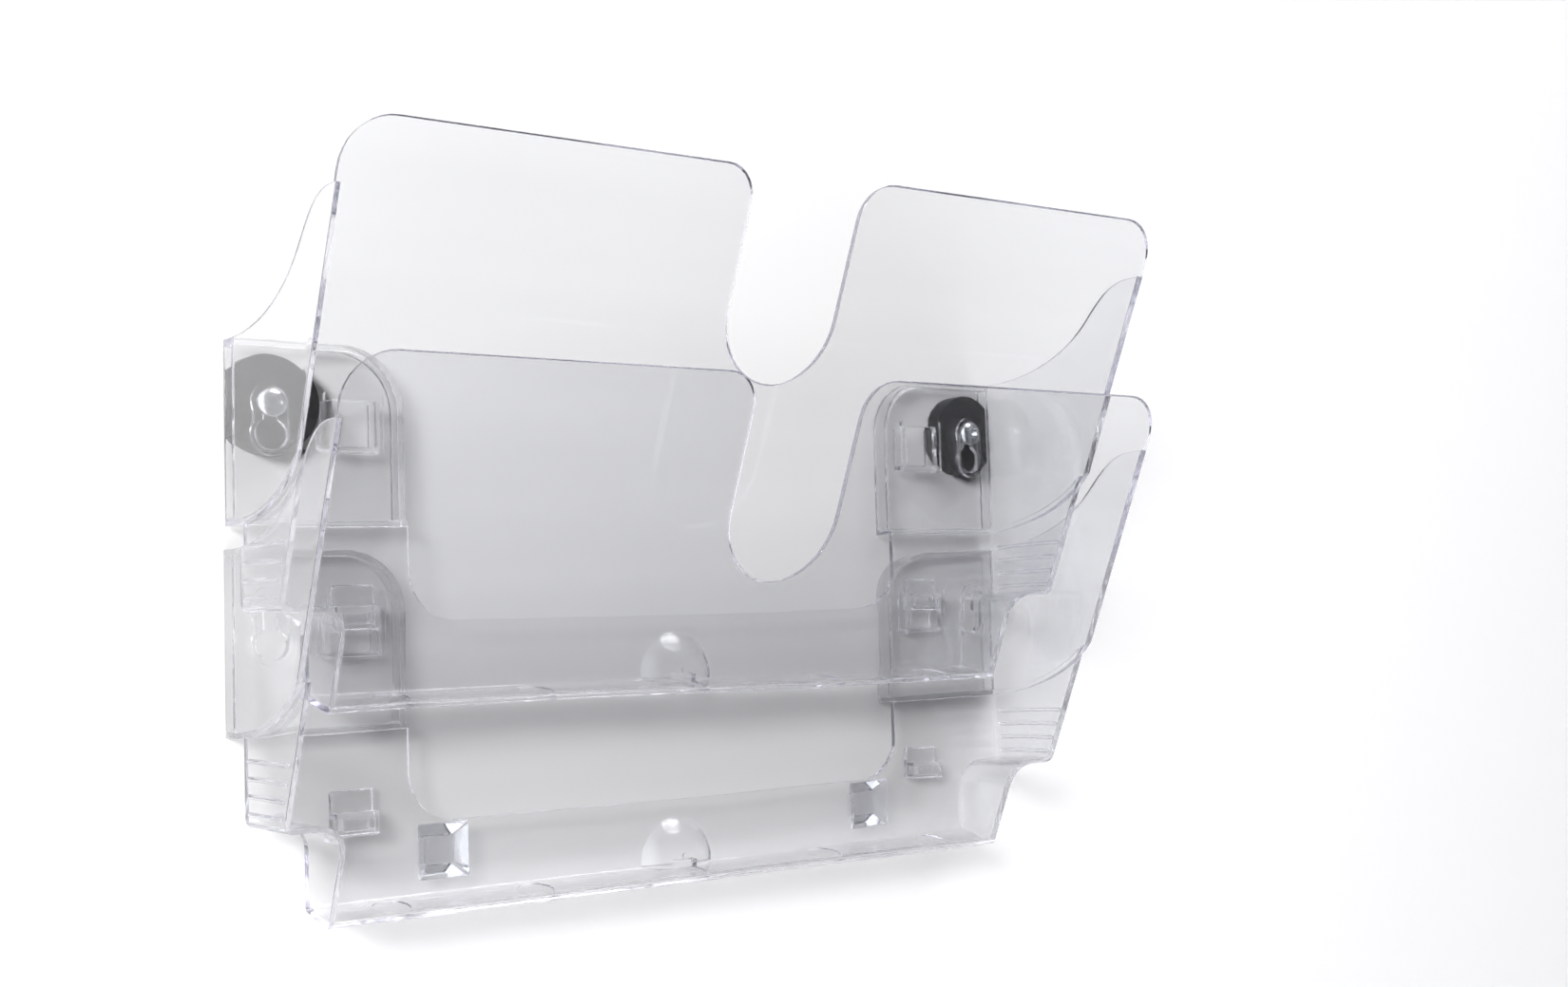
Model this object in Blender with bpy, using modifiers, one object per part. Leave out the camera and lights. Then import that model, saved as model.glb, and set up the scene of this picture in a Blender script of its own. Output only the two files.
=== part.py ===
"""Wall rack of two clear plastic pockets for landscape A4 magazines and leaflets.

Metres, +Z up. X runs along the wall, the wall is the plane y = 0 and the pockets stand
out from it towards -Y. The origin is on the wall, midway between the two fixing screws.
Both pockets are the same moulding: the upper one hangs on the screws by its keyholes, and
the lower one hangs by its ear windows on the two hooks behind the upper one.

A pocket is designed in its own frame, whose z = 0 is the front edge of its bottom shelf.
"""
import math

import bmesh
import bpy
from mathutils import Matrix, Vector

MM = 0.001
GAP = 0.3                     # clearance kept between pieces that touch
OVERLAP = 0.5                 # depth by which joined features run into each other
SLIVER = 0.001                # edges and faces thinner than this are cleared after a boolean

# Walls of the moulding
WALL = 2.0
FRONT_LEAN = 0.436            # how far the front panel moves out for each mm of height
SHELF_FRONT_Y = -28.0         # where the front panel's outer face meets z = 0
SHELF_Z = 1.2                 # underside of the bottom shelf at its front edge
SHELF_RISE = 4.5              # how much higher its back edge is
PANEL_REAR_Y = -8.4           # rear face of the back panel
PLATE_REAR_Y = -6.0           # rear face of the ear plates
PLATE_FRONT_Y = PLATE_REAR_Y - WALL
DRAFT = 0.035                 # side walls open out by this much for each mm of depth

# Half widths, and the heights where they change
NARROW_X = 153.5
MID_X = 174.8
WING_X = 178.0
MID_Z = 36.1
EAR_BOTTOM_Z = 66.5
EAR_TOP_Z = 131.5
TOP_Z = 188.5
ABOVE = 250.0                 # a height clear of the whole pocket
START_X = -5.0                # the half that is mirrored starts a little past the middle

# How the two pockets sit on each other
PITCH = 73.0                  # the lower pocket hangs this far below the upper one
STAND_OFF = 2.0               # the upper pocket is held this far off the wall by its discs
LIFT_GAP = EAR_BOTTOM_Z - (EAR_TOP_Z - PITCH)

# Outline radii
TOP_CORNER_R = 17.0
NOTCH_X = 24.3
NOTCH_Z = 115.7
NOTCH_TOP_R = 13.0
STEP_FILLET_R = 9.0
MID_CORNER_R = 3.0

# Cut-out in the back panel between the ears
CUTOUT_X = 114.5
CUTOUT_Z = 33.0
CUTOUT_R = 18.0
EAR_CORNER_R = 23.0

# Keyhole in each ear
KEY_X = 163.0
SEAT_Z = 109.4
KEY_DROP = 10.9               # the large hole is this far below the seat
KEY_HOLE_R = 5.7
KEY_SLOT_R = 2.5
COLLAR_HOLE_R = 7.7
COLLAR_SEAT_R = 7.2
COLLAR_WAIST_X = 6.5
RAISED = 1.5                  # height of the collars and window frames over the ear plate

# Window in each ear, and the hook that the next pocket hangs from
WINDOW_X = 134.0
WINDOW_Z = 103.5
WINDOW_W = 17.0
WINDOW_H = 16.4
WINDOW_FRAME = 2.6
GUIDE = 1.6                   # ribs behind each window, at its sides and under it
GUIDE_REAR_Y = -1.4
HOOK_W = 16.0
HOOK_TOP_Z = WINDOW_Z + WINDOW_H / 2 - PITCH - GAP
HOOK_BOTTOM_Z = 30.3
HOOK_TIP_Z = 46.1
HOOK_REAR_Y = -1.6
TONGUE = 2.0

# Small features of the moulding
DOME_R = 16.7
DOME_H = 6.0
DOME_Z = 9.8
GATE_R = 1.3
MARK_R = 6.8
MARK_DEPTH = 0.4
MARK_XS = (0.0, 68.0, 126.0)
RIB_R = 0.8
RIB_OUT = 0.7
RIB_ZS = (41.0, 47.0, 53.0, 59.0)

# Fixings and stick-on bumpers
DISC_R = 17.2
DISC_FLAT_X = WING_X - WALL - 0.5
DISC_BORE_R = 2.6
SHANK_R = 2.1
HEAD_R = 5.2
HEAD_H = 3.0
HEAD_EDGE = 0.9
SCREW_END_Y = 33.0
SCREW_TIP = 5.0
RECESS_W = 1.3
RECESS_L = 5.6
RECESS_DEPTH = 1.9
PLUG_R = 3.6
PLUG_BORE_R = 2.4
PLUG_L = 35.0
PLUG_SLIT_W = 0.8
BUMPER_X = 100.4
BUMPER_Z = 22.0
BUMPER_BASE = 21.0
BUMPER_END = 10.5

PARTS = "magazine_rack"
CUTTERS = "cutters"


# ---------------------------------------------------------------- scene and materials
def clear_scene():
    for obj in list(bpy.data.objects):
        bpy.data.objects.remove(obj, do_unlink=True)
    for name in (PARTS, CUTTERS):
        bpy.context.scene.collection.children.link(bpy.data.collections.new(name))


def material(name, colour, roughness, metallic=0.0, transmission=0.0):
    mat = bpy.data.materials.new(name)
    mat.use_nodes = True
    shader = mat.node_tree.nodes["Principled BSDF"]
    shader.inputs["Base Color"].default_value = (*colour, 1.0)
    shader.inputs["Roughness"].default_value = roughness
    shader.inputs["Metallic"].default_value = metallic
    shader.inputs["Transmission Weight"].default_value = transmission
    shader.inputs["IOR"].default_value = 1.5
    return mat


def add_object(name, mesh, collection):
    obj = bpy.data.objects.new(name, mesh)
    bpy.data.collections[collection].objects.link(obj)
    if collection == CUTTERS:
        obj.hide_render = True
        obj.display_type = "WIRE"
    return obj


def bake(obj):
    """Mesh of the object with its modifiers carried out, in world space."""
    graph = bpy.context.evaluated_depsgraph_get()
    mesh = bpy.data.meshes.new_from_object(obj.evaluated_get(graph))
    mesh.transform(obj.matrix_world)
    return mesh


# ---------------------------------------------------------------- outlines and solids
def rounded(corners):
    """Outline through (u, v, radius) corners, each corner turned into an arc."""
    points = []
    count = len(corners)
    for i, (u, v, radius) in enumerate(corners):
        here = Vector((u, v))
        if radius == 0:
            points.append(here)
            continue
        back = (Vector(corners[i - 1][:2]) - here).normalized()
        ahead = (Vector(corners[(i + 1) % count][:2]) - here).normalized()
        half = back.angle(ahead) / 2
        centre = here + (back + ahead).normalized() * radius / math.sin(half)
        first = here + back * radius / math.tan(half) - centre
        last = here + ahead * radius / math.tan(half) - centre
        turn = first.angle_signed(last)
        steps = max(3, round(radius * abs(turn) * 0.35))
        for k in range(steps + 1):
            points.append(centre + Matrix.Rotation(-turn * k / steps, 2) @ first)
    return points


def stadium(x, low_z, high_z, radius, steps=14):
    """Outline of an upright slot with round ends centred at low_z and high_z."""
    points = []
    for z, start in ((high_z, 0.0), (low_z, math.pi)):
        for k in range(steps + 1):
            angle = start + math.pi * k / steps
            points.append(Vector((x + radius * math.cos(angle), z + radius * math.sin(angle))))
    return points


def prism(name, outline, plane, start, end):
    """Solid cutter: an outline in the XZ or YZ plane, drawn out from start to end in mm."""
    curve = bpy.data.curves.new(name, "CURVE")
    curve.dimensions = "2D"
    curve.fill_mode = "BOTH"
    curve.extrude = abs(end - start) / 2 * MM
    spline = curve.splines.new("POLY")
    spline.points.add(len(outline) - 1)
    for point, (u, v) in zip(spline.points, outline):
        point.co = (u * MM, v * MM, 0, 1)
    spline.use_cyclic_u = True
    drawn = add_object(name + "_outline", curve, CUTTERS)
    middle = (start + end) / 2 * MM
    if plane == "XZ":
        drawn.matrix_world = Matrix(((1, 0, 0, 0), (0, 0, -1, middle), (0, 1, 0, 0), (0, 0, 0, 1)))
    else:
        drawn.matrix_world = Matrix(((0, 0, 1, middle), (1, 0, 0, 0), (0, 1, 0, 0), (0, 0, 0, 1)))
    mesh = bake(drawn)
    bpy.data.objects.remove(drawn)
    tidy(mesh)
    return add_object(name, mesh, CUTTERS)


def tidy(mesh):
    """Weld the caps of a solid to its sides and turn its faces outward."""
    bm = bmesh.new()
    bm.from_mesh(mesh)
    bmesh.ops.remove_doubles(bm, verts=bm.verts, dist=1e-7)
    bmesh.ops.recalc_face_normals(bm, faces=bm.faces)
    bm.to_mesh(mesh)
    bm.free()


def primitive(name, build, collection=CUTTERS):
    """Object from a bmesh primitive; build fills the bmesh, in mm."""
    mesh = bpy.data.meshes.new(name)
    bm = bmesh.new()
    build(bm)
    bmesh.ops.scale(bm, vec=(MM, MM, MM), verts=bm.verts)
    bm.to_mesh(mesh)
    bm.free()
    return add_object(name, mesh, collection)


def box(name, low, high, collection=CUTTERS):
    size = Vector(high) - Vector(low)
    place = Matrix.Translation((Vector(low) + Vector(high)) / 2) @ Matrix.Diagonal((*size, 1))
    return primitive(name, lambda bm: bmesh.ops.create_cube(bm, size=1, matrix=place), collection)


def rod(name, radius, start, end, x, z, sides=32, end_radius=None, collection=CUTTERS):
    """Round bar or cone along Y, from start to end."""
    place = Matrix.Translation((x, (start + end) / 2, z)) @ Matrix.Rotation(-math.pi / 2, 4, "X")
    tip = radius if end_radius is None else end_radius

    def build(bm):
        bmesh.ops.create_cone(bm, cap_ends=True, segments=sides, radius1=radius, radius2=tip,
                              depth=end - start, matrix=place)
    return primitive(name, build, collection)


def combine(target, tool, operation):
    step = target.modifiers.new(tool.name, "BOOLEAN")
    step.operation = operation
    step.solver = "EXACT"
    step.object = tool


def cut(target, tool):
    combine(target, tool, "DIFFERENCE")


def join(target, tool):
    combine(target, tool, "UNION")


def keep_inside(target, tool):
    combine(target, tool, "INTERSECT")


def settle(obj):
    """Carry out the booleans so far and clear the flat slivers they leave where two faces are flush.

    The next boolean then gets a closed mesh, which its test of inside and outside relies on.
    """
    mesh = bake(obj)
    obj.modifiers.clear()
    tidy(mesh)
    bm = bmesh.new()
    bm.from_mesh(mesh)
    bmesh.ops.dissolve_degenerate(bm, edges=bm.edges, dist=SLIVER * MM)
    bm.to_mesh(mesh)
    bm.free()
    obj.data = mesh


# ---------------------------------------------------------------- the pocket's curves
def front_y(z, inset=0.0):
    """Depth of the front panel's face at a height; inset moves it inward by a thickness."""
    return SHELF_FRONT_Y - FRONT_LEAN * z + inset * math.hypot(1, FRONT_LEAN)


def shelf_z(y):
    """Height of the shelf's underside, which rises evenly from its front edge to its back."""
    return SHELF_Z + SHELF_RISE * (y - front_y(SHELF_Z)) / (PANEL_REAR_Y - front_y(SHELF_Z))


def wing_edge(drop=0.0):
    """Top edge of a side wing as (y, z) points: flat at the ear, rising, flat at the front."""
    knots = ((-8, 131.5), (-38, 131.5), (-58, 141.5), (-68.5, 152.5),
             (-79, 163.5), (-84, 167.8), (-95, 167.8))
    points = []
    for first in (0, 3):
        a, b, c, d = (Vector(knot) for knot in knots[first:first + 4])
        for k in range(10):
            t = k / 10
            point = a * (1 - t) ** 3 + b * 3 * t * (1 - t) ** 2 + c * 3 * t * t * (1 - t) + d * t ** 3
            points.append(Vector((point.x, point.y - drop)))
    points.append(Vector((knots[-1][0], knots[-1][1] - drop)))
    return points


def shoulder(inset=0.0):
    """Lower limit of the wide part: it clears the wing of the pocket hung below by LIFT_GAP."""
    drop = PITCH - LIFT_GAP - inset
    line = [point + Vector((STAND_OFF, 0)) for point in wing_edge(drop)]
    line = [point for point in line if point.x > front_y(point.y, inset)]
    last = line[-1]
    slope = 1.05
    z = (last.y + slope * (last.x - front_y(0, inset))) / (1 - slope * FRONT_LEAN)
    return line + [Vector((front_y(z, inset), z))]


# ---------------------------------------------------------------- the pocket's volumes
def lower_volume(name, inset):
    """Narrow foot and middle of the pocket, half of it, shrunk by inset."""
    low = START_X - inset
    high = 112.0 - inset
    narrow = NARROW_X - inset
    middle = MID_X - inset
    step = MID_Z + inset
    outline = rounded(((low, low, 0), (narrow, low, 0), (narrow, step, STEP_FILLET_R + inset),
                       (middle, step, MID_CORNER_R - inset), (middle, high, 0), (low, high, 0)))
    volume = prism(name, outline, "XZ", -130, 5)
    back = PANEL_REAR_Y - inset
    slope = SHELF_RISE / (PANEL_REAR_Y - front_y(SHELF_Z))
    rise = inset * math.hypot(1, slope)
    toe_y = front_y(rise + shelf_z(0), inset) / (1 + FRONT_LEAN * slope)
    profile = rounded(((back, shelf_z(back) + rise, 1.5), (toe_y, shelf_z(toe_y) + rise, 2.0),
                       (front_y(high + 8, inset), high + 8, 0), (back, high + 8, 0)))
    keep_inside(volume, prism(name + "_side", profile, "YZ", -20, 200))
    return volume


def upper_volume(name, inset):
    """Wide wings and ears of the pocket, half of it, shrunk by inset."""
    low = START_X - inset
    side = WING_X - inset
    if inset == 0:
        outline = rounded(((low, 60, 0), (side, 60, 0), (side, TOP_Z, TOP_CORNER_R),
                           (NOTCH_X, TOP_Z, NOTCH_TOP_R), (NOTCH_X, NOTCH_Z, NOTCH_X),
                           (low, NOTCH_Z, 0)))
        rear = 0.0
    else:
        outline = [(low, 60), (side, 60), (side, ABOVE), (low, ABOVE)]
        rear = PLATE_FRONT_Y
    volume = prism(name, outline, "XZ", -150, 5)
    floor = [Vector((rear, EAR_BOTTOM_Z + inset))]
    floor += [point for point in shoulder(inset) if point.x < rear - 0.1]
    profile = floor + [Vector((front_y(ABOVE + 5, inset), ABOVE + 5)), Vector((rear, ABOVE + 5))]
    keep_inside(volume, prism(name + "_side", profile, "YZ", -20, 200))
    return volume


def half_shell():
    shell = lower_volume("pocket_half", 0.0)
    join(shell, upper_volume("wing_outside", 0.0))
    settle(shell)
    cut(shell, lower_volume("foot_inside", WALL))
    cut(shell, upper_volume("wing_inside", WALL))
    settle(shell)

    near = CUTOUT_X + WALL
    far = WING_X - WALL
    floor = EAR_BOTTOM_Z + WALL
    top = EAR_TOP_Z - WALL
    recess = rounded(((near, floor, 0.8), (far, floor, 0.8), (far, top, 0.8),
                      (near, top, EAR_CORNER_R - WALL)))
    cut(shell, prism("ear_recess", recess, "XZ", PLATE_REAR_Y, 5))

    high = 145.0
    opening = rounded(((-high, CUTOUT_Z, 0), (CUTOUT_X, CUTOUT_Z, CUTOUT_R),
                       (CUTOUT_X, EAR_TOP_Z, EAR_CORNER_R), (high, EAR_TOP_Z, 0),
                       (high, high, 0), (-high, high, 0)))
    cut(shell, prism("back_cutout", opening, "XZ", -14, 5))

    edge = wing_edge()
    edge_top = edge[-1].y
    profile = [Vector((5, EAR_TOP_Z))] + edge
    profile += [Vector((front_y(edge_top, WALL), edge_top)),
                Vector((front_y(ABOVE + 10, WALL), ABOVE + 10)), Vector((5, ABOVE + 10))]
    cut(shell, prism("wing_edge_cut", profile, "YZ", -20, 200))
    return shell


# ---------------------------------------------------------------- the pocket's features
def add_keyhole(shell):
    hole_z = SEAT_Z - KEY_DROP
    plate = PLATE_FRONT_Y + OVERLAP
    raised = PLATE_FRONT_Y - RAISED
    join(shell, rod("collar_hole", COLLAR_HOLE_R, raised, plate, KEY_X, hole_z, 40))
    join(shell, rod("collar_seat", COLLAR_SEAT_R, raised, plate, KEY_X, SEAT_Z, 40))
    join(shell, box("collar_waist", (KEY_X - COLLAR_WAIST_X, raised + 0.01, hole_z),
                    (KEY_X + COLLAR_WAIST_X, plate, SEAT_Z)))
    cut(shell, prism("head_track", stadium(KEY_X, hole_z, SEAT_Z, KEY_HOLE_R), "XZ", -15, PLATE_FRONT_Y))
    cut(shell, rod("key_hole", KEY_HOLE_R - 0.05, -15, -4, KEY_X, hole_z, 40))
    cut(shell, prism("key_slot", stadium(KEY_X, hole_z, SEAT_Z, KEY_SLOT_R), "XZ", -15, -4))
    settle(shell)


def add_window(shell):
    half_w = WINDOW_W / 2
    half_h = WINDOW_H / 2
    outer_w = half_w + WINDOW_FRAME
    outer_h = half_h + WINDOW_FRAME
    frame = rounded(((WINDOW_X - outer_w, WINDOW_Z - outer_h, 1),
                     (WINDOW_X + outer_w, WINDOW_Z - outer_h, 1),
                     (WINDOW_X + outer_w, WINDOW_Z + outer_h, 1),
                     (WINDOW_X - outer_w, WINDOW_Z + outer_h, 1)))
    join(shell, prism("window_frame", frame, "XZ", PLATE_FRONT_Y - RAISED, PLATE_FRONT_Y + OVERLAP))
    guide_w = half_w + GUIDE
    guide_bottom_z = WINDOW_Z - half_h - GUIDE
    guide_top_z = WINDOW_Z + half_h - OVERLAP
    join(shell, box("window_guide", (WINDOW_X - guide_w, PLATE_REAR_Y - OVERLAP, guide_bottom_z),
                    (WINDOW_X + guide_w, GUIDE_REAR_Y, guide_top_z)))
    cut(shell, box("window_opening", (WINDOW_X - half_w, -15, WINDOW_Z - half_h),
                   (WINDOW_X + half_w, GUIDE_REAR_Y + 1, WINDOW_Z + half_h)))


def add_hook(shell):
    left = WINDOW_X - HOOK_W / 2
    right = WINDOW_X + HOOK_W / 2
    root_y = PANEL_REAR_Y - OVERLAP
    tongue_y = HOOK_REAR_Y - TONGUE
    side = rounded(((root_y, HOOK_BOTTOM_Z, 0), (HOOK_REAR_Y, HOOK_BOTTOM_Z, 0.8),
                    (HOOK_REAR_Y, HOOK_TIP_Z, 1.2), (tongue_y, HOOK_TIP_Z, 0.4),
                    (tongue_y, HOOK_TOP_Z, 0), (root_y, HOOK_TOP_Z, 0)))
    join(shell, prism("hook", side, "YZ", left, right))
    inner = (left + WALL, -15, HOOK_BOTTOM_Z + WALL)
    cut(shell, box("hook_hollow", inner, (right - WALL, HOOK_REAR_Y - TONGUE, HOOK_TOP_Z - WALL)))


def add_dome(shell):
    """Round bump in the middle of the back panel, hollow behind, with its small gate mark."""
    radius = (DOME_R ** 2 + DOME_H ** 2) / (2 * DOME_H)
    face = PANEL_REAR_Y - WALL
    place = Matrix.Translation((0, face - DOME_H + radius, DOME_Z)) @ Matrix.Rotation(math.pi / 2, 4, "X")

    def ball(size):
        return lambda bm: bmesh.ops.create_uvsphere(bm, u_segments=48, v_segments=48, radius=size,
                                                    matrix=place)
    skin = primitive("dome_outside", ball(radius))
    keep_inside(skin, box("dome_limit", (-40, -40, 6.4), (40, face + OVERLAP, 40)))
    join(shell, skin)
    hollow = primitive("dome_inside", ball(radius - WALL))
    keep_inside(hollow, box("hollow_limit", (-40, -40, 8.0), (40, 20, 40)))
    cut(shell, hollow)
    join(shell, rod("gate_mark", GATE_R, face - DOME_H - 0.4, face - DOME_H + 1, 0, DOME_Z + 1.5, 16))


def add_shelf_marks(shell):
    """Shallow round marks left in the shelf by the mould."""
    slope = math.atan2(SHELF_RISE, PANEL_REAR_Y - front_y(SHELF_Z))
    y = (PANEL_REAR_Y - WALL + front_y(SHELF_Z + WALL, WALL)) / 2
    z = shelf_z(y) + WALL * math.hypot(1, math.tan(slope)) - MARK_DEPTH
    for i, x in enumerate(MARK_XS):
        place = Matrix.Translation((x, y, z + 2)) @ Matrix.Rotation(slope, 4, "X")

        def build(bm, place=place):
            bmesh.ops.create_cone(bm, cap_ends=True, segments=32, radius1=MARK_R, radius2=MARK_R,
                                  depth=4, matrix=place)
        cut(shell, primitive("shelf_mark_%d" % i, build))


def add_guide_ribs(shell):
    """Fine ribs on the middle's side that steady it inside the wings of the pocket below."""
    for i, z in enumerate(RIB_ZS):
        join(shell, rod("guide_rib_%d" % i, RIB_R, front_y(z) + 4, PANEL_REAR_Y - 4,
                        MID_X - RIB_R + RIB_OUT, z, 8))


def open_out(mesh):
    """Give the side walls their draft: the pocket widens evenly towards its front."""
    for vertex in mesh.vertices:
        depth = max(0.0, PLATE_FRONT_Y * MM - vertex.co.y)
        vertex.co.x *= 1 + DRAFT * depth / (WING_X * MM)


def pocket_mesh():
    half = half_shell()
    add_keyhole(half)
    add_window(half)
    add_hook(half)
    add_dome(half)
    add_shelf_marks(half)
    add_guide_ribs(half)
    mirror = half.modifiers.new("other_half", "MIRROR")
    mirror.use_axis = (True, False, False)
    mirror.use_bisect_axis = (True, False, False)
    mirror.bisect_threshold = 1e-6
    mirror.merge_threshold = 1e-5
    mesh = bake(half)
    tidy(mesh)
    open_out(mesh)
    mesh.shade_smooth()
    mesh.set_sharp_from_angle(angle=math.radians(25))
    return mesh


# ---------------------------------------------------------------- fixings and bumpers
def make_disc(name, side):
    """Black spacer between the wall and the ear, with a flat that keeps it from turning."""
    front = PLATE_REAR_Y - STAND_OFF + GAP
    disc = rod(name, DISC_R, front, -GAP, side * KEY_X, 0, 96, collection=PARTS)
    flat = side * DISC_FLAT_X
    outside = side * (DISC_FLAT_X + 20)
    cut(disc, box(name + "_flat", (min(flat, outside), -20, -30), (max(flat, outside), 20, 30)))
    cut(disc, rod(name + "_bore", DISC_BORE_R, -20, 20, side * KEY_X, 0, 32))
    return disc


def turned(name, profile, side):
    """Round piece along Y, turned from (radius, depth) points that run from front to back."""
    mesh = bpy.data.meshes.new(name)
    bm = bmesh.new()
    points = [bm.verts.new((radius * MM, 0, -y * MM)) for radius, y in profile]
    for a, b in zip(points, points[1:]):
        bm.edges.new((a, b))
    bm.to_mesh(mesh)
    bm.free()
    piece = add_object(name, mesh, PARTS)
    screw = piece.modifiers.new("turn", "SCREW")
    screw.axis = "Z"
    screw.steps = 40
    screw.render_steps = 40
    screw.use_merge_vertices = True
    screw.merge_threshold = 1e-6
    screw.use_smooth_shade = True
    piece.matrix_world = (Matrix.Translation((side * KEY_X * MM, 0, 0))
                          @ Matrix.Rotation(math.pi / 2, 4, "X"))
    return piece


def make_screw(name, side):
    """Pan-head wood screw with a cross recess, held in the wall plug."""
    seat = PLATE_FRONT_Y - STAND_OFF - GAP
    top = seat - HEAD_H
    crown = 8
    profile = [(0, top)]
    for k in range(1, crown + 1):
        angle = math.pi / 2 * k / crown
        depth = seat - HEAD_EDGE - (HEAD_H - HEAD_EDGE) * math.cos(angle)
        profile.append((HEAD_R * math.sin(angle), depth))
    profile += [(HEAD_R, seat), (SHANK_R, seat), (SHANK_R, SCREW_END_Y - SCREW_TIP), (0, SCREW_END_Y)]
    screw = turned(name, profile, side)
    floor = top + RECESS_DEPTH
    for tag, w, h in (("a", RECESS_L, RECESS_W), ("b", RECESS_W, RECESS_L)):
        cut(screw, box(name + "_recess_" + tag, (side * KEY_X - w / 2, top - 2, -h / 2),
                       (side * KEY_X + w / 2, floor, h / 2)))
    return screw


def make_plug(name, side):
    """Nylon wall plug: a sleeve, slit lengthways so that it can spread in the wall."""
    plug = turned(name, [(PLUG_BORE_R, 0.4), (PLUG_R, 0.4), (PLUG_R, PLUG_L - 2),
                         (PLUG_R - 0.8, PLUG_L), (PLUG_BORE_R, PLUG_L), (PLUG_BORE_R, 0.4)], side)
    cut(plug, box(name + "_slit", (side * KEY_X - PLUG_SLIT_W / 2, 6, -10),
                  (side * KEY_X + PLUG_SLIT_W / 2, PLUG_L - 8, 10)))
    return plug


def make_bumper(name, side):
    """Clear tapered stick-on foot between the lower pocket's back panel and the wall."""
    front = PANEL_REAR_Y + GAP
    place = (Matrix.Translation((side * BUMPER_X, front / 2, BUMPER_Z - SEAT_Z - PITCH))
             @ Matrix.Rotation(-math.pi / 2, 4, "X") @ Matrix.Rotation(math.pi / 4, 4, "Z"))

    def build(bm):
        bmesh.ops.create_cone(bm, cap_ends=True, segments=4, radius1=BUMPER_BASE / math.sqrt(2),
                              radius2=BUMPER_END / math.sqrt(2), depth=-front, matrix=place)
    bumper = primitive(name, build, PARTS)
    bevel = bumper.modifiers.new("soft_edges", "BEVEL")
    bevel.width = 0.8 * MM
    bevel.segments = 2
    return bumper


# ---------------------------------------------------------------- assembly
def main():
    clear_scene()
    clear = (0.88, 0.89, 0.92)
    moulding = pocket_mesh()
    for name, stand_off, drop in (("upper_pocket", STAND_OFF, 0.0), ("lower_pocket", 0.0, PITCH)):
        pocket = add_object(name, moulding.copy(), PARTS)
        pocket.location = (0.0, -stand_off * MM, -(SEAT_Z + drop) * MM)
        pocket.data.materials.append(material(name + "_clear_styrene", clear, 0.05, 0.0, 1.0))
    finishes = (
        (make_disc, "spacer_disc", (0.012, 0.012, 0.013), 0.45, 0.0, 0.0),
        (make_screw, "screw", (0.62, 0.63, 0.64), 0.28, 1.0, 0.0),
        (make_plug, "wall_plug", (0.55, 0.55, 0.56), 0.5, 0.0, 0.0),
        (make_bumper, "bumper", (0.90, 0.90, 0.90), 0.12, 0.0, 1.0),
    )
    for build, piece, colour, roughness, metallic, transmission in finishes:
        for hand, side in (("left", -1), ("right", 1)):
            name = piece + "_" + hand
            made = build(name, side)
            finish = material(name + "_finish", colour, roughness, metallic, transmission)
            made.data.materials.append(finish)


main()
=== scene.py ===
"""Looks of the clear two-pocket magazine rack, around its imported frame.

Metres, +Z up. The wall is the plane y = 0 and the rack stands out from it towards -Y.
"""

import math

import bmesh
import bpy
from mathutils import Matrix, Vector

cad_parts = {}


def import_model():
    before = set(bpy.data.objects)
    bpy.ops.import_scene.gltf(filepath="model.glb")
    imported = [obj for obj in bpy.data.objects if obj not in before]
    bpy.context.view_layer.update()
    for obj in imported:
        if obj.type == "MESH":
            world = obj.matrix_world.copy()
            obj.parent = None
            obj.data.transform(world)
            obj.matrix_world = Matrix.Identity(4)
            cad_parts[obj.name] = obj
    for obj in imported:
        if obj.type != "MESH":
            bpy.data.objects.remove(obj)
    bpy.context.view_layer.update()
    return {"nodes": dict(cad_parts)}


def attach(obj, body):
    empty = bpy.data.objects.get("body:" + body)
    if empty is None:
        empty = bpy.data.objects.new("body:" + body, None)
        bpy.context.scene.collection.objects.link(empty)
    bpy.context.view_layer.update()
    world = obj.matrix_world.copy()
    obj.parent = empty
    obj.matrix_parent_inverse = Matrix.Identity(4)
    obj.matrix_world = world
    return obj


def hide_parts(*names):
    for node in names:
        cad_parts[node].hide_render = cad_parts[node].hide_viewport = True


MM = 0.001

# Camera: the focal length in mm on a 36 mm sensor, where it stands, and how it is turned
LENS = 44.98
CAMERA_AT = (-0.43597, -0.65652, -0.07938)
CAMERA_YAW = 37.47
CAMERA_PITCH = 3.56
CAMERA_ROLL = -1.73

# Light: how bright the room and its screens are in reflections, and the backdrop looked at
ROOM_LIGHT = 0.15
REFLECTED_ROOM = 0.04
SCREEN_LIGHT = 2.4
OVERHEAD_LIGHT = 0.9
BACKDROP_LIGHT = 0.80

KEY_AT = (-2.1, -1.5, 0.75)
KEY_SIZE = 0.7
KEY_POWER = 103
FILL_AT = (0.9, -1.2, 1.9)
FILL_SIZE = 1.4
FILL_POWER = 26
LAMPS_AIM = (0, -0.05, -0.06)

# Angle in degrees under which faces shade as one: for most pieces, and where it differs
PLAIN_ANGLE = 35
SMOOTH_ANGLE = {"clear_styrene": 20, "zinc_screw": 50}

# Clear plastic, in metres: its tint darkens between the two depths, which is painted shade on the plates
# farther from the wall, and its rims throw a shadow of their own as far out as the ear plates reach
NEAR_Y = -0.014
FAR_Y = -0.034
EAR_PLATE_Y = -0.0128
EDGE_R = 0.0005
EDGE_BEVEL = 0.0003

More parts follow.
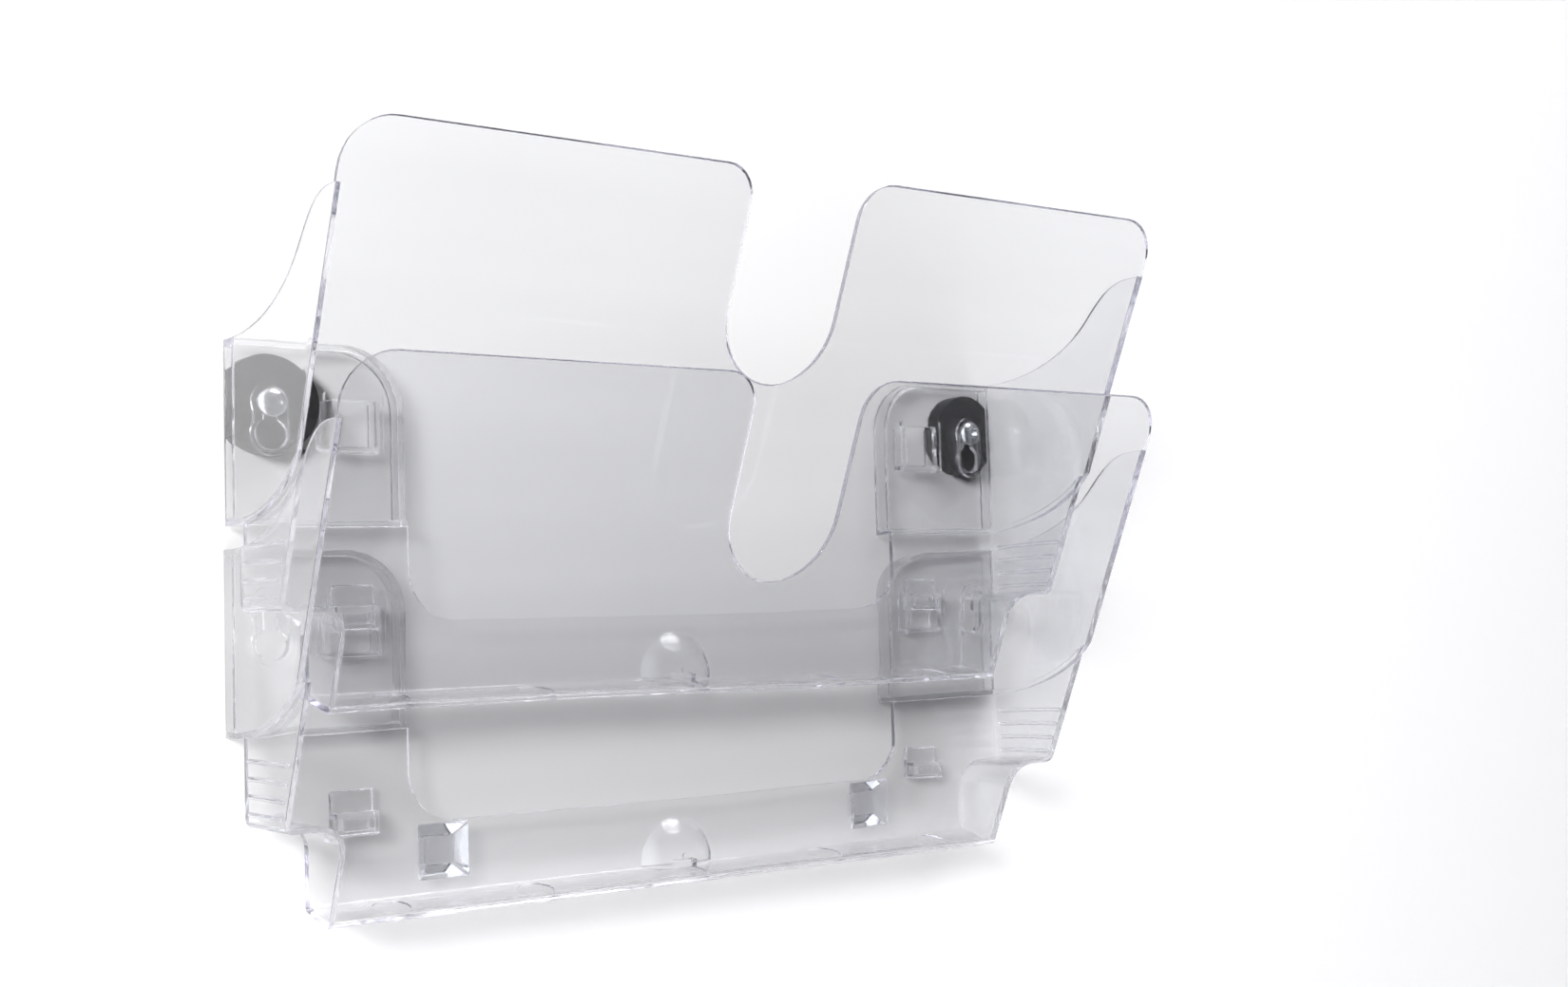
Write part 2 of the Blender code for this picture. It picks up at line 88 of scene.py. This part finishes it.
# Places on the object, in millimetres
SCREW_X = 163.0
SEAT_Y = -10.3
HEAD_R = 5.2
HEAD_H = 3.0
SHANK_R = 2.1
ROOT_R = 1.55
SCREW_END_Y = 33.0
THREAD_PITCH = 1.9
PLUG_R = 3.6
PLUG_BORE_R = 2.4
PLUG_START_Y = 0.4
PLUG_END_Y = 35.0
THREAD_START_Y = 1.2
POINT_R = 0.12
POINT_LENGTH = 6.0
CROSS_REACH = 3.3
CROSS_HALF_WIDTH = 0.8
RIB_PITCH = 2.4


# ---------------------------------------------------------------- node helpers
class Shader:
    """A material's node tree with short ways to add nodes and join them."""

    def __init__(self, name):
        self.mat = bpy.data.materials.new(name)
        self.mat.use_nodes = True
        self.tree = self.mat.node_tree
        self.body = self.tree.nodes["Principled BSDF"]
        self.output = self.tree.nodes["Material Output"]

    def node(self, kind, **settings):
        made = self.tree.nodes.new("ShaderNode" + kind)
        for key, value in settings.items():
            setattr(made, key, value)
        return made

    def join(self, source, target):
        self.tree.links.new(source, target)

    def set(self, **values):
        for key, value in values.items():
            self.body.inputs[key.replace("_", " ")].default_value = value

    def place(self, stretch=(1, 1, 1)):
        """Object coordinates, stretched for grain that runs one way."""
        coords = self.node("TexCoord")
        mapping = self.node("Mapping")
        mapping.inputs["Scale"].default_value = stretch
        self.join(coords.outputs["Object"], mapping.inputs["Vector"])
        return mapping.outputs["Vector"]

    def noise(self, scale, detail=3.0, stretch=(1, 1, 1)):
        made = self.node("TexNoise")
        made.inputs["Scale"].default_value = scale
        made.inputs["Detail"].default_value = detail
        self.join(self.place(stretch), made.inputs["Vector"])
        return made.outputs["Fac"]

    def ramp(self, source, low, high, colours=None):
        """Source from 0 to 1 turned into numbers low to high, or into colours."""
        if colours is None:
            made = self.node("MapRange")
            made.inputs["To Min"].default_value = low
            made.inputs["To Max"].default_value = high
            self.join(source, made.inputs["Value"])
            return made.outputs["Result"]
        made = self.node("ValToRGB")
        for element, place, colour in zip(made.color_ramp.elements, (low, high), colours):
            element.position = place
            element.color = (*colour, 1)
        self.join(source, made.inputs["Fac"])
        return made.outputs["Color"]

    def math(self, operation, first, second):
        """First and second may be sockets or numbers."""
        made = self.node("Math", operation=operation)
        for socket, value in zip(made.inputs, (first, second)):
            if isinstance(value, float):
                socket.default_value = value
            else:
                self.join(value, socket)
        return made.outputs[0]

    def size(self, source, comparison, limit):
        """1 where the source, without its sign, compares so with the limit, and 0 elsewhere."""
        return self.math(comparison, self.math("ABSOLUTE", source, 0.0), limit)

    def rounded_edges(self, radius):
        """Normals that turn smoothly round the edges, as if they had this radius."""
        made = self.node("Bevel", samples=6)
        made.inputs["Radius"].default_value = radius
        return made.outputs["Normal"]

    def bump(self, source, height, below=None):
        made = self.node("Bump")
        made.inputs["Strength"].default_value = 1.0
        made.inputs["Distance"].default_value = height
        self.join(source, made.inputs["Height"])
        if below is not None:
            self.join(below, made.inputs["Normal"])
        return made.outputs["Normal"]


def clear_plastic(name, near_tint, far_shaded_tint, depth_tint, density, flat_pass, rim_pass, waves):
    """Clear moulded plastic with softly rounded edges and faint waviness from the mould.

    It is clearest in the plates at the wall. Farther out its tint is darker, which is painted shade on
    the front panels. The rims near the wall throw a darker shadow than the flat plates, because they
    bend the light that meets them.
    """
    s = Shader(name)
    s.set(Transmission_Weight=1.0, IOR=1.57)
    where = s.node("SeparateXYZ")
    s.join(s.place(), where.inputs[0])
    # Painted shade: the tint darkens from the plates at the wall to the plates farther out
    out = s.node("MapRange")
    out.inputs["From Min"].default_value = NEAR_Y
    out.inputs["From Max"].default_value = FAR_Y
    s.join(where.outputs["Y"], out.inputs["Value"])
    # Painted shade: horizontal bands that darken the far tint a little more
    shade_streaks = s.noise(14, 2.5, (0.12, 1, 2.2))
    far = s.ramp(shade_streaks, 0.3, 0.7, (far_shaded_tint, tuple(0.955 * c for c in far_shaded_tint)))
    tint = s.node("Mix", data_type="RGBA")
    tint.inputs["A"].default_value = (*near_tint, 1)
    s.join(out.outputs["Result"], tint.inputs["Factor"])
    s.join(far, tint.inputs["B"])
    s.join(tint.outputs["Result"], s.body.inputs["Base Color"])
    s.join(s.ramp(s.noise(40, 2), 0.012, 0.04), s.body.inputs["Roughness"])
    swell = s.bump(s.noise(9, 1.5, (0.55, 1, 1.6)), waves, s.rounded_edges(EDGE_R))
    s.join(s.bump(s.noise(260, 2), 0.000004, swell), s.body.inputs["Normal"])

    inside = s.node("VolumeAbsorption")
    inside.inputs["Color"].default_value = (*depth_tint, 1)
    inside.inputs["Density"].default_value = density
    s.join(inside.outputs["Volume"], s.output.inputs["Volume"])

    shape = s.node("NewGeometry")
    way = s.node("SeparateXYZ")
    s.join(shape.outputs["True Normal"], way.inputs[0])
    across = s.size(way.outputs["Y"], "LESS_THAN", 0.6)
    level = s.size(way.outputs["Z"], "GREATER_THAN", 0.8)
    close = s.math("MULTIPLY", s.math("GREATER_THAN", where.outputs["Y"], EAR_PLATE_Y), 0.55)
    rim = s.math("MULTIPLY", across, s.math("MAXIMUM", level, close))
    passing = s.node("Mix", data_type="RGBA")
    passing.inputs["B"].default_value = (*rim_pass, 1)
    s.join(rim, passing.inputs["Factor"])
    # Painted shade: the same bands darken the light that the flat plates let through to the wall
    s.join(s.ramp(shade_streaks, 0.35, 0.65, (flat_pass, tuple(0.95 * c for c in flat_pass))),
           passing.inputs["A"])
    lamps = s.node("BsdfTransparent")
    s.join(passing.outputs["Result"], lamps.inputs["Color"])
    path = s.node("LightPath")
    mix = s.node("MixShader")
    s.join(path.outputs["Is Shadow Ray"], mix.inputs[0])
    s.join(s.body.outputs[0], mix.inputs[1])
    s.join(lamps.outputs[0], mix.inputs[2])
    s.join(mix.outputs[0], s.output.inputs["Surface"])
    return s.mat


def black_plastic(name):
    """Black spacer: fine moulded texture, a little dusty, with a soft sheen."""
    s = Shader(name)
    s.set(IOR=1.5, Specular_IOR_Level=0.14)
    s.join(s.ramp(s.noise(900, 3), 0.35, 0.7, ((0.001, 0.001, 0.0012), (0.004, 0.004, 0.0045))),
           s.body.inputs["Base Color"])
    s.join(s.ramp(s.noise(350, 3), 0.42, 0.60), s.body.inputs["Roughness"])
    s.join(s.bump(s.noise(2600, 2), 0.00002), s.body.inputs["Normal"])
    return s.mat


def zinc(name):
    """Bright zinc-plated steel with faint turning marks."""
    s = Shader(name)
    s.set(Metallic=1.0)
    s.join(s.ramp(s.noise(700, 3), 0.3, 0.7, ((0.62, 0.63, 0.65), (0.80, 0.81, 0.82))),
           s.body.inputs["Base Color"])
    s.join(s.ramp(s.noise(420, 4), 0.05, 0.16), s.body.inputs["Roughness"])
    s.join(s.bump(s.noise(1500, 3), 0.000012), s.body.inputs["Normal"])
    return s.mat


def nylon(name):
    """Grey nylon wall plug."""
    s = Shader(name)
    s.set(IOR=1.53)
    s.join(s.ramp(s.noise(220, 3), 0.3, 0.7, ((0.42, 0.43, 0.44), (0.52, 0.53, 0.54))),
           s.body.inputs["Base Color"])
    s.join(s.ramp(s.noise(300, 2), 0.38, 0.55), s.body.inputs["Roughness"])
    s.join(s.bump(s.noise(1200, 3), 0.00003), s.body.inputs["Normal"])
    return s.mat


# ---------------------------------------------------------------- meshes
def copied(frame, node, name):
    """New mesh from a CAD node, welded, and without its custom normals."""
    mesh = frame["nodes"][node].data.copy()
    mesh.materials.clear()
    bm = bmesh.new()
    bm.from_mesh(mesh)
    bmesh.ops.remove_doubles(bm, verts=bm.verts, dist=2e-6)
    bm.to_mesh(mesh)
    bm.free()
    if mesh.attributes.get("custom_normal"):
        mesh.attributes.remove(mesh.attributes["custom_normal"])
    made = bpy.data.objects.new(name, mesh)
    bpy.context.scene.collection.objects.link(made)
    return made


def soften(obj, width, angle, segments=2):
    """Rounds the object's sharp edges."""
    bevel = obj.modifiers.new("soft_edges", "BEVEL")
    bevel.width = width
    bevel.segments = segments
    bevel.limit_method = "ANGLE"
    bevel.angle_limit = math.radians(angle)
    bevel.miter_outer = "MITER_ARC"
    even = obj.modifiers.new("flat_faces", "WEIGHTED_NORMAL")
    even.mode = "FACE_AREA"
    even.weight = 100
    obj.data.shade_smooth()


def smooth_by(obj, degrees):
    obj.data.shade_smooth()
    obj.data.set_sharp_from_angle(angle=math.radians(degrees))


def linked(name, bm):
    """New object from a bmesh, with its faces turned outwards."""
    bmesh.ops.recalc_face_normals(bm, faces=bm.faces)
    mesh = bpy.data.meshes.new(name)
    bm.to_mesh(mesh)
    bm.free()
    made = bpy.data.objects.new(name, mesh)
    bpy.context.scene.collection.objects.link(made)
    return made


def turned(name, x, rows, sides=36):
    """Round piece along Y at x, from (radius, y) rows in mm, closed at both ends.

    A row's radius may be a function of the angle, as a thread needs.
    """
    bm = bmesh.new()
    rings = []
    for radius, y in rows:
        ring = []
        for k in range(sides):
            angle = 2 * math.pi * k / sides
            r = radius(angle) if callable(radius) else radius
            ring.append(bm.verts.new(((x + r * math.cos(angle)) * MM, y * MM, r * math.sin(angle) * MM)))
        rings.append(ring)
    for a, b in zip(rings, rings[1:]):
        for k in range(sides):
            bm.faces.new((a[k], a[(k + 1) % sides], b[(k + 1) % sides], b[k]))
    bm.faces.new(rings[0])
    bm.faces.new(rings[-1])
    return linked(name, bm)


def block(name, start, end):
    """Tapered block along Y in mm, from one rectangle (half width, half height, y) to another,
    about (x, 0) given as the first value of each."""
    bm = bmesh.new()
    ends = []
    for x, half_x, half_z, y in (start, end):
        flat = ((x - half_x, -half_z), (x + half_x, -half_z), (x + half_x, half_z), (x - half_x, half_z))
        ends.append([bm.verts.new((px * MM, y * MM, pz * MM)) for px, pz in flat])
    a, b = ends
    for k in range(4):
        bm.faces.new((a[k], a[(k + 1) % 4], b[(k + 1) % 4], b[k]))
    bm.faces.new(a)
    bm.faces.new(b)
    return linked(name, bm)


def cut_away(obj, tools):
    """Takes the tools' solids out of the object."""
    for tool in tools:
        step = obj.modifiers.new(tool.name, "BOOLEAN")
        step.operation = "DIFFERENCE"
        step.solver = "EXACT"
        step.object = tool
    graph = bpy.context.evaluated_depsgraph_get()
    mesh = bpy.data.meshes.new_from_object(obj.evaluated_get(graph))
    obj.modifiers.clear()
    obj.data = mesh
    for tool in tools:
        bpy.data.objects.remove(tool)


def make_screw(name, x):
    """Pan-head screw with a tapered cross recess, and a wood thread down to its point."""
    top = SEAT_Y - HEAD_H
    rows = [(0.4, top)]
    for k in range(1, 11):
        angle = math.pi / 2 * k / 10
        rows.append((HEAD_R * math.sin(angle) ** 0.8, SEAT_Y - 1.0 - (HEAD_H - 1.0) * math.cos(angle)))
    rows += [(HEAD_R, SEAT_Y - 0.5), (HEAD_R - 0.12, SEAT_Y - 0.12), (HEAD_R - 0.5, SEAT_Y),
             (SHANK_R + 0.35, SEAT_Y), (SHANK_R, SEAT_Y + 0.4), (SHANK_R, 1.0)]
    count = round((SCREW_END_Y - THREAD_START_Y) / THREAD_PITCH * 8)
    for k in range(count):
        y = THREAD_START_Y + (SCREW_END_Y - THREAD_START_Y) * k / (count - 1)
        left = min(1.0, (SCREW_END_Y - y) / POINT_LENGTH)

        def thread(angle, y=y, left=left):
            phase = (y / THREAD_PITCH - angle / (2 * math.pi)) % 1.0
            crest = max(0.0, 1 - abs(phase - 0.5) * 4.0)
            return POINT_R + (ROOT_R - POINT_R) * left + (SHANK_R - ROOT_R) * crest * left
        rows.append((thread, y))
    screw = turned(name, x, rows)
    arms = []
    for tag, half_x, half_z in (("wide", CROSS_REACH, CROSS_HALF_WIDTH),
                                ("tall", CROSS_HALF_WIDTH, CROSS_REACH)):
        arms.append(block(name + "_" + tag, (x, half_x, half_z, top - 0.6),
                          (x, half_x * 0.4, half_z * 0.4, top + 2.2)))
    cut_away(screw, arms)
    return screw


def make_plug(name, x):
    """Nylon plug: a collar, ribs that grip the hole, a bore right through and a slit across."""
    low = PLUG_R - 0.55
    rows = [(PLUG_R - 0.25, PLUG_START_Y), (PLUG_R, PLUG_START_Y + 0.25), (PLUG_R, 2.4), (low, 3.0)]
    y = 4.0
    while y < PLUG_END_Y - 5:
        rows += [(low, y), (PLUG_R, y + 1.5), (PLUG_R - 0.05, y + 1.7), (low, y + 2.0)]
        y += RIB_PITCH
    rows += [(low, PLUG_END_Y - 2.5), (low - 0.4, PLUG_END_Y)]
    plug = turned(name, x, rows)
    bore = turned(name + "_bore", x, [(PLUG_BORE_R, PLUG_START_Y - 2), (PLUG_BORE_R, PLUG_END_Y + 2)])
    slit = block(name + "_slit", (x, 0.4, 9, 6.0), (x, 0.4, 9, PLUG_END_Y - 8))
    cut_away(plug, (bore, slit))
    return plug


# ---------------------------------------------------------------- stage, light and camera
def make_stage():
    """White wall behind the rack, open when looked at from behind, and a pale floor that
    reflections don't see."""
    wall = Shader("stage_wall")
    wall.set(Base_Color=(0.90, 0.90, 0.905, 1), Roughness=0.9, Specular_IOR_Level=0.1)
    behind = wall.node("NewGeometry")
    clear = wall.node("BsdfTransparent")
    mix = wall.node("MixShader")
    wall.join(behind.outputs["Backfacing"], mix.inputs[0])
    wall.join(wall.body.outputs[0], mix.inputs[1])
    wall.join(clear.outputs[0], mix.inputs[2])
    wall.join(mix.outputs[0], wall.output.inputs["Surface"])
    floor = Shader("stage_floor")
    floor.set(Base_Color=(0.86, 0.86, 0.865, 1), Roughness=0.85, Specular_IOR_Level=0.2)
    path = floor.node("LightPath")
    gone = floor.node("BsdfTransparent")
    either = floor.node("MixShader")
    floor.join(floor.math("GREATER_THAN", path.outputs["Glossy Depth"], 0.5), either.inputs[0])
    floor.join(floor.body.outputs[0], either.inputs[1])
    floor.join(gone.outputs[0], either.inputs[2])
    floor.join(either.outputs[0], floor.output.inputs["Surface"])

    reach = 12.0
    drop = -1.3
    corners = {
        "wall": ((-reach, 0, drop), (reach, 0, drop), (reach, 0, reach), (-reach, 0, reach)),
        "floor": ((-reach, -reach, drop), (reach, -reach, drop), (reach, reach, drop),
                  (-reach, reach, drop)),
    }
    for name, mat in (("wall", wall.mat), ("floor", floor.mat)):
        mesh = bpy.data.meshes.new(name)
        mesh.from_pydata(corners[name], [], [(0, 1, 2, 3)])
        mesh.materials.append(mat)
        obj = bpy.data.objects.new("stage_" + name, mesh)
        bpy.context.scene.collection.objects.link(obj)


def area_light(name, at, size, power):
    data = bpy.data.lights.new(name, "AREA")
    data.shape = "ELLIPSE"
    data.size = size
    data.size_y = size
    data.energy = power
    lamp = bpy.data.objects.new(name, data)
    bpy.context.scene.collection.objects.link(lamp)
    lamp.location = at
    lamp.rotation_euler = (Vector(LAMPS_AIM) - Vector(at)).to_track_quat("-Z", "Y").to_euler()


def make_lights():
    """Where the backdrop is seen directly or through the plastic it is pale. Reflections see a
    dim room with a bright screen on the left and one overhead."""
    world = bpy.data.worlds.new("studio")
    world.use_nodes = True
    tree = world.node_tree

    def add(kind, **inputs):
        made = tree.nodes.new("ShaderNode" + kind)
        for key, value in inputs.items():
            socket = made.inputs[key.replace("_", " ")]
            if isinstance(value, bpy.types.NodeSocket):
                tree.links.new(value, socket)
            else:
                socket.default_value = value
        return made

    sky = tree.nodes["Background"]
    sky.inputs["Color"].default_value = (0.93, 0.95, 1.0, 1)
    path = add("LightPath").outputs
    way = add("SeparateXYZ", Vector=add("TexCoord").outputs["Generated"]).outputs
    left = add("MapRange", Value=way["X"], From_Min=-0.15, From_Max=-0.5, To_Min=REFLECTED_ROOM,
               To_Max=SCREEN_LIGHT)
    screens = add("MapRange", Value=way["Z"], From_Min=0.55, From_Max=0.85,
                  To_Min=left.outputs["Result"], To_Max=OVERHEAD_LIGHT)
    direct = add("MapRange", Value=path["Glossy Depth"], To_Min=BACKDROP_LIGHT,
                 To_Max=screens.outputs["Result"])
    level = add("MapRange", Value=path["Diffuse Depth"], To_Min=direct.outputs["Result"],
                To_Max=ROOM_LIGHT)
    tree.links.new(level.outputs["Result"], sky.inputs["Strength"])
    bpy.context.scene.world = world
    area_light("key", KEY_AT, KEY_SIZE, KEY_POWER)
    area_light("fill", FILL_AT, FILL_SIZE, FILL_POWER)


def make_camera():
    data = bpy.data.cameras.new("camera")
    data.sensor_width = 36
    data.lens = LENS
    data.clip_start = 0.01
    data.clip_end = 50
    camera = bpy.data.objects.new("camera", data)
    bpy.context.scene.collection.objects.link(camera)
    turn = (Matrix.Rotation(math.radians(-CAMERA_YAW), 4, "Z")
            @ Matrix.Rotation(math.radians(90 + CAMERA_PITCH), 4, "X")
            @ Matrix.Rotation(math.radians(CAMERA_ROLL), 4, "Z"))
    camera.matrix_world = Matrix.Translation(CAMERA_AT) @ turn
    bpy.context.scene.camera = camera


def light_paths():
    """Enough bounces for light to pass through all the clear layers, and plain colours."""
    scene = bpy.context.scene
    scene.cycles.max_bounces = 96
    scene.cycles.transmission_bounces = 32
    scene.cycles.transparent_max_bounces = 40
    scene.cycles.glossy_bounces = 80
    scene.cycles.diffuse_bounces = 3
    scene.cycles.caustics_refractive = False
    scene.cycles.caustics_reflective = False
    scene.view_settings.view_transform = "Standard"
    scene.view_settings.look = "None"


# ---------------------------------------------------------------- assembly
def dress(piece, finish, body, node, slot):
    """Gives a new piece its material and its body, and hides the CAD node it takes the place of."""
    piece.data.materials.clear()
    piece.data.materials.append(finish)
    if not piece.modifiers:
        smooth_by(piece, SMOOTH_ANGLE.get(slot, PLAIN_ANGLE))
    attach(piece, body)
    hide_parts(node)


def main():
    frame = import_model()
    make_camera()
    make_stage()
    make_lights()
    light_paths()

    plastic = clear_plastic("clear_styrene", (0.99, 0.99, 0.992), (0.945, 0.948, 0.958),
                            (0.62, 0.60, 0.76), 4.0, (0.985, 0.985, 0.986), (0.74, 0.74, 0.745),
                            0.00006)
    for body in ("upper", "lower"):
        pocket = copied(frame, body + "_pocket", body + "_pocket_moulding")
        dress(pocket, plastic, body, body + "_pocket", "clear_styrene")

    soft = clear_plastic("clear_bumper", (0.95, 0.955, 0.965), (0.95, 0.955, 0.965),
                         (0.7, 0.7, 0.78), 12.0, (0.98, 0.98, 0.985), (0.80, 0.80, 0.82), 0.00003)
    black = black_plastic("black_spacer")
    steel = zinc("zinc_screw")
    grey = nylon("nylon_plug")
    for hand, side in (("left", -1), ("right", 1)):
        x = side * SCREW_X
        dress(make_screw("pan_head_screw_" + hand, x), steel, "wall_fixings", "screw_" + hand,
              "zinc_screw")
        dress(make_plug("ribbed_plug_" + hand, x), grey, "wall_fixings", "wall_plug_" + hand,
              "nylon_plug")
        for node, body, finish, slot in (("spacer_disc_", "wall_fixings", black, "black_spacer"),
                                         ("bumper_", "lower", soft, "clear_bumper")):
            piece = copied(frame, node + hand, node + hand + "_softened")
            soften(piece, EDGE_BEVEL, PLAIN_ANGLE)
            dress(piece, finish, body, node + hand, slot)


main()
